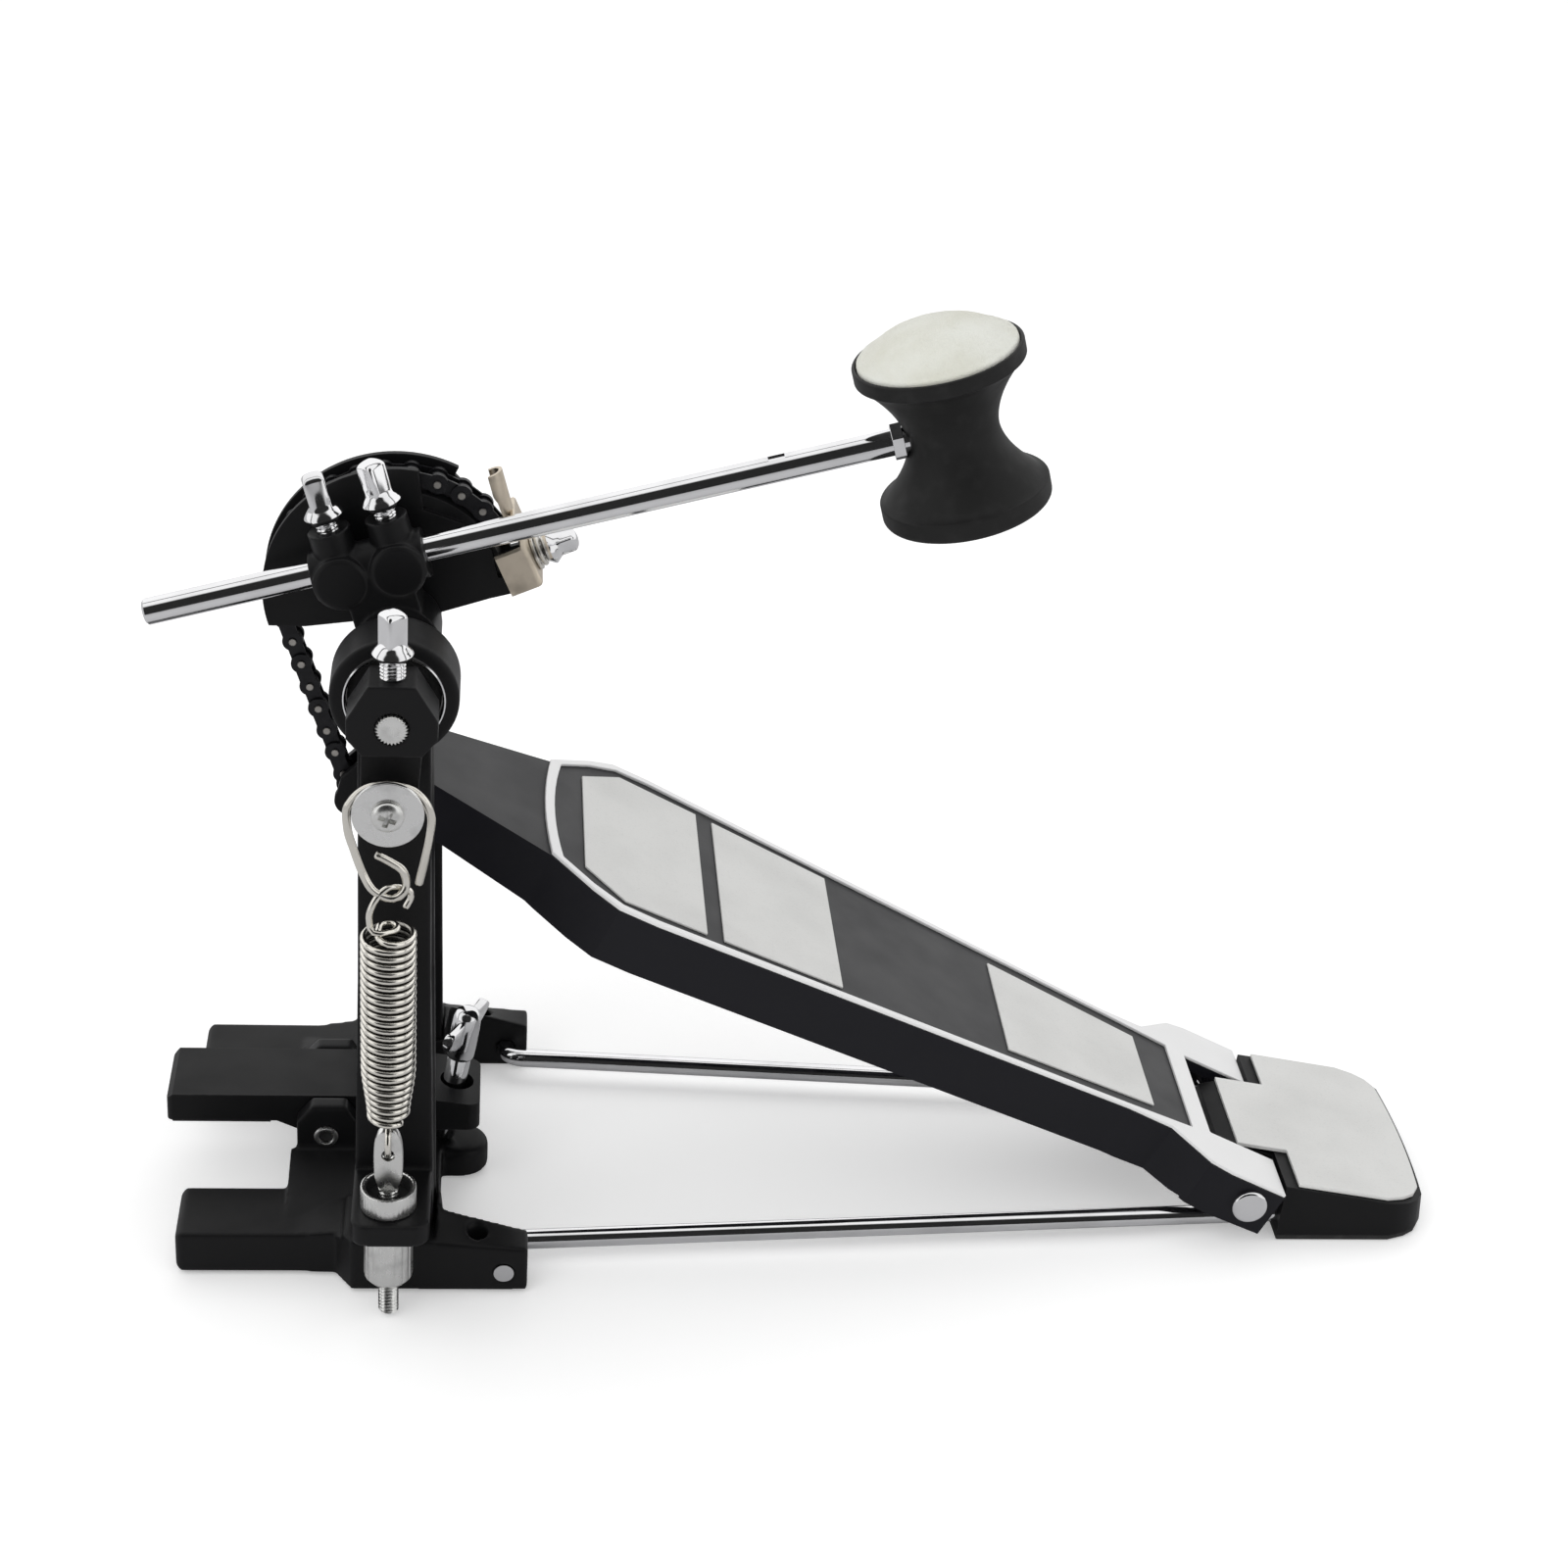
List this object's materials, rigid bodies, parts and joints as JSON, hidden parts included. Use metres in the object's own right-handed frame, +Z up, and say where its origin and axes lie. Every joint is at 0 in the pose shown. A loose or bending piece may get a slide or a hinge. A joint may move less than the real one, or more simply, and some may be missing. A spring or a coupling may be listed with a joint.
{
  "type": "bass drum pedal",
  "caption": "Chain-drive bass drum pedal: hinged footboard, eccentric chain wheel, swinging beater, side return spring, hoop clamp and folding-rod base.",
  "frame": {"origin": "floor point under the drive axle, on the footboard's centre plane", "axes": "+X towards the heel plate and the player, -X towards the drum, +Z up, spring side on -Y"},
  "size_m": [0.4224, 0.1611, 0.3121],
  "materials": {
    "base_casting": "satin black casting",
    "near_post": "satin black casting",
    "far_post": "satin black casting",
    "post_bolts": "black steel",
    "foot_pads": "matt",
    "clamp_pivot_pin": "plain",
    "radius_rods": "polished",
    "heel_plate": "satin black casting",
    "heel_cover": "light silver paint",
    "heel_pad": "matt",
    "hinge_pin": "polished",
    "bearing_outer_rings": "ground",
    "bearing_balls": "polished",
    "axle": "ground",
    "bearing_inner_rings": "ground",
    "cam_wheel": "satin black casting",
    "chain_bracket": "warm nickel plate",
    "chain_bolt_washer": "nickel plate",
    "chain_fixed": "black steel, oiled",
    "beater_hub": "satin black casting",
    "rocker": "satin black casting",
    "crank_washer": "zinc plate",
    "hub_screw_rear": "polished",
    "hub_screw_front": "polished",
    "rocker_screw": "polished",
    "chain_bolt": "nickel plate",
    "crank_screw": "zinc plate",
    "beater_rod": "polished",
    "head_nut": "black steel",
    "beater_head": "black moulded",
    "felt_pad": "cream pressed felt",
    "footboard": "satin black casting",
    "board_trim": "silver edge",
    "board_inserts": "light grey grip panel",
    "toe_clevis": "black steel",
    "toe_pin": "plain",
    "chain_run": "black steel, oiled",
    "stirrup": "nickel plated wire",
    "spring_lower_hook": "nickel plated wire",
    "tension_spring": "nickel plated wire",
    "eyebolt": "zinc plate",
    "tension_nut": "knurled, zinc plate",
    "lock_nut": "knurled, zinc plate",
    "clamp_jaw": "satin black casting",
    "jaw_pad": "matt",
    "wing_screw": "nickel plate",
    "chain_link_1": "black steel, oiled",
    "chain_link_2": "black steel, oiled",
    "chain_link_3": "black steel, oiled",
    "chain_link_4": "black steel, oiled",
    "chain_link_5": "black steel, oiled",
    "chain_link_6": "black steel, oiled"
  },
  "bodies": {
    "frame": {"base_casting": "base_casting", "near_post": "near_post", "far_post": "far_post", "post_bolts": "post_bolts", "foot_pads": "foot_pads", "clamp_pivot_pin": "clamp_pivot_pin", "radius_rods": "radius_rods", "heel_plate": "heel_plate", "heel_cover": "heel_cover", "heel_pad": "heel_pad", "hinge_pin": "hinge_pin", "bearing_outer_rings": "bearing_outer_rings"},
    "balls": {"bearing_balls": "bearing_balls"},
    "drive": {"axle": "axle", "bearing_inner_rings": "bearing_inner_rings", "cam_wheel": "cam_wheel", "chain_bracket": "chain_bracket", "chain_bolt_washer": "chain_bolt_washer", "chain_fixed": "chain_fixed", "beater_hub": "beater_hub", "rocker": "rocker", "crank_washer": "crank_washer"},
    "hub_screw_1": {"hub_screw_rear": "hub_screw_rear"},
    "hub_screw_2": {"hub_screw_front": "hub_screw_front"},
    "rocker_key": {"rocker_screw": "rocker_screw"},
    "chain_key": {"chain_bolt": "chain_bolt"},
    "crank_key": {"crank_screw": "crank_screw"},
    "beater": {"beater_rod": "beater_rod", "head_nut": "head_nut"},
    "head": {"beater_head": "beater_head", "felt_pad": "felt_pad"},
    "board": {"footboard": "footboard", "board_trim": "board_trim", "board_inserts": "board_inserts", "toe_clevis": "toe_clevis", "toe_pin": "toe_pin"},
    "run": {"chain_run": "chain_run"},
    "hanger": {"stirrup": "stirrup"},
    "spring_base": {"spring_lower_hook": "spring_lower_hook"},
    "spring_top": {"tension_spring": "tension_spring"},
    "eye": {"eyebolt": "eyebolt"},
    "adjuster": {"tension_nut": "tension_nut"},
    "locker": {"lock_nut": "lock_nut"},
    "jaw": {"clamp_jaw": "clamp_jaw", "jaw_pad": "jaw_pad"},
    "wing": {"wing_screw": "wing_screw"},
    "link_1": {"chain_link_1": "chain_link_1"},
    "link_2": {"chain_link_2": "chain_link_2"},
    "link_3": {"chain_link_3": "chain_link_3"},
    "link_4": {"chain_link_4": "chain_link_4"},
    "link_5": {"chain_link_5": "chain_link_5"},
    "link_6": {"chain_link_6": "chain_link_6"}
  },
  "joints": [
    {"name": "drive_turn", "type": "hinge", "parent": "frame", "child": "drive", "pos_m": [0, 0, 0.208], "axis": [0, -1, 0], "range_deg": [0, 75]},
    {"name": "ball_orbit", "type": "hinge", "parent": "frame", "child": "balls", "pos_m": [0, 0, 0.208], "axis": [0, -1, 0], "range_deg": [0, 30.5]},
    {"name": "board_tilt", "type": "hinge", "parent": "frame", "child": "board", "pos_m": [0.2813, 0, 0.0166], "axis": [0, -1, 0], "range_deg": [0, 10.68]},
    {"name": "chain_swing", "type": "hinge", "parent": "board", "child": "run", "pos_m": [-0.0154, 0, 0.1439], "axis": [0, -1, 0], "range_deg": [-24.39, 0]},
    {"name": "link_1_bend", "type": "hinge", "parent": "run", "child": "link_1", "pos_m": [-0.03539, 0, 0.20469], "axis": [0, -1, 0], "range_deg": [0, 6.36]},
    {"name": "link_2_bend", "type": "hinge", "parent": "link_1", "child": "link_2", "pos_m": [-0.03703, 0, 0.21252], "axis": [0, -1, 0], "range_deg": [0, 12.71]},
    {"name": "link_3_bend", "type": "hinge", "parent": "link_2", "child": "link_3", "pos_m": [-0.03692, 0, 0.22052], "axis": [0, -1, 0], "range_deg": [0, 12.71]},
    {"name": "link_4_bend", "type": "hinge", "parent": "link_3", "child": "link_4", "pos_m": [-0.03505, 0, 0.2283], "axis": [0, -1, 0], "range_deg": [0, 12.71]},
    {"name": "link_5_bend", "type": "hinge", "parent": "link_4", "child": "link_5", "pos_m": [-0.03151, 0, 0.23548], "axis": [0, -1, 0], "range_deg": [0, 12.71]},
    {"name": "link_6_bend", "type": "hinge", "parent": "link_5", "child": "link_6", "pos_m": [-0.02649, 0, 0.2417], "axis": [0, -1, 0], "range_deg": [0, 12.71]},
    {"name": "hanger_turn", "type": "hinge", "parent": "drive", "child": "hanger", "pos_m": [-0.001, -0.0796, 0.1822], "axis": [0, -1, 0], "range_deg": [-85.49, 0]},
    {"name": "spring_swing", "type": "hinge", "parent": "eye", "child": "spring_base", "pos_m": [-0.001, -0.0796, 0.0615], "axis": [0, -1, 0], "range_deg": [-10.49, 0]},
    {"name": "spring_stretch", "type": "slide", "parent": "spring_base", "child": "spring_top", "axis": [0, 0, 1], "range_m": [0, 0.02053], "deforming": ["tension_spring"]},
    {"name": "beater_height", "type": "slide", "parent": "drive", "child": "beater", "axis": [0.9632, 0, 0.2689], "range_m": [-0.015, 0.045]},
    {"name": "head_turn", "type": "hinge", "parent": "beater", "child": "head", "pos_m": [0.16125, -0.018, 0.27898], "axis": [0.9632, 0, 0.2689], "range_deg": [-180, 180]},
    {"name": "hub_screw_rear_turn", "type": "hinge", "parent": "drive", "child": "hub_screw_1", "pos_m": [-0.01741, -0.018, 0.22909], "axis": [-0.2689, 0, 0.9632], "range_deg": [-360, 360]},
    {"name": "hub_screw_front_turn", "type": "hinge", "parent": "drive", "child": "hub_screw_2", "pos_m": [-0.0007, -0.018, 0.23376], "axis": [-0.2689, 0, 0.9632], "range_deg": [-360, 360]},
    {"name": "rocker_screw_turn", "type": "hinge", "parent": "drive", "child": "rocker_key", "pos_m": [0, -0.073, 0.225], "axis": [0, 0, 1], "range_deg": [-360, 360]},
    {"name": "chain_bolt_turn", "type": "hinge", "parent": "drive", "child": "chain_key", "pos_m": [0.04263, 0, 0.22864], "axis": [0.9135, 0, 0.4067], "range_deg": [-360, 360]},
    {"name": "crank_screw_turn", "type": "hinge", "parent": "drive", "child": "crank_key", "pos_m": [-0.001, -0.085, 0.1822], "axis": [0, -1, 0], "range_deg": [-360, 360]},
    {"name": "tension_turn", "type": "hinge", "parent": "frame", "child": "adjuster", "pos_m": [-0.001, -0.0796, 0.025], "axis": [0, 0, 1], "range_deg": [-1440, 360]},
    {"name": "lock_nut_turn", "type": "hinge", "parent": "frame", "child": "locker", "pos_m": [-0.001, -0.0796, 0.044], "axis": [0, 0, 1], "range_deg": [-1441, 361]},
    {"name": "eyebolt_slide", "type": "slide", "parent": "frame", "child": "eye", "axis": [0, 0, 1], "range_m": [-0.00101, 0.00401]},
    {"name": "jaw_tilt", "type": "hinge", "parent": "frame", "child": "jaw", "pos_m": [-0.0235, 0, 0.0257], "axis": [0, -1, 0], "range_deg": [0, 6]},
    {"name": "wing_turn", "type": "hinge", "parent": "frame", "child": "wing", "pos_m": [0.0143, 0, 0.0117], "axis": [0.1564, 0, 0.9877], "range_deg": [-1, 1506.2]}
  ],
  "couplings": [
    {"joint": "ball_orbit", "follows": "drive_turn", "ratio": 0.4},
    {"joint": "board_tilt", "follows": "drive_turn", "ratio": 0.14212},
    {"joint": "chain_swing", "follows": "drive_turn", "ratio": -0.32493},
    {"joint": "link_1_bend", "follows": "drive_turn", "ratio": 0.084586},
    {"joint": "link_2_bend", "follows": "drive_turn", "ratio": 0.16917},
    {"joint": "link_3_bend", "follows": "drive_turn", "ratio": 0.16917},
    {"joint": "link_4_bend", "follows": "drive_turn", "ratio": 0.16917},
    {"joint": "link_5_bend", "follows": "drive_turn", "ratio": 0.16917},
    {"joint": "link_6_bend", "follows": "drive_turn", "ratio": 0.16917},
    {"joint": "hanger_turn", "follows": "drive_turn", "ratio": -1.1396},
    {"joint": "spring_swing", "follows": "drive_turn", "ratio": -0.13961},
    {"joint": "spring_stretch", "follows": "drive_turn", "m_per_rad": 0.015667},
    {"joint": "lock_nut_turn", "follows": "tension_turn", "ratio": 1},
    {"joint": "eyebolt_slide", "follows": "tension_turn", "m_per_rad": -0.00015915},
    {"joint": "wing_turn", "follows": "jaw_tilt", "ratio": 250.87}
  ]
}
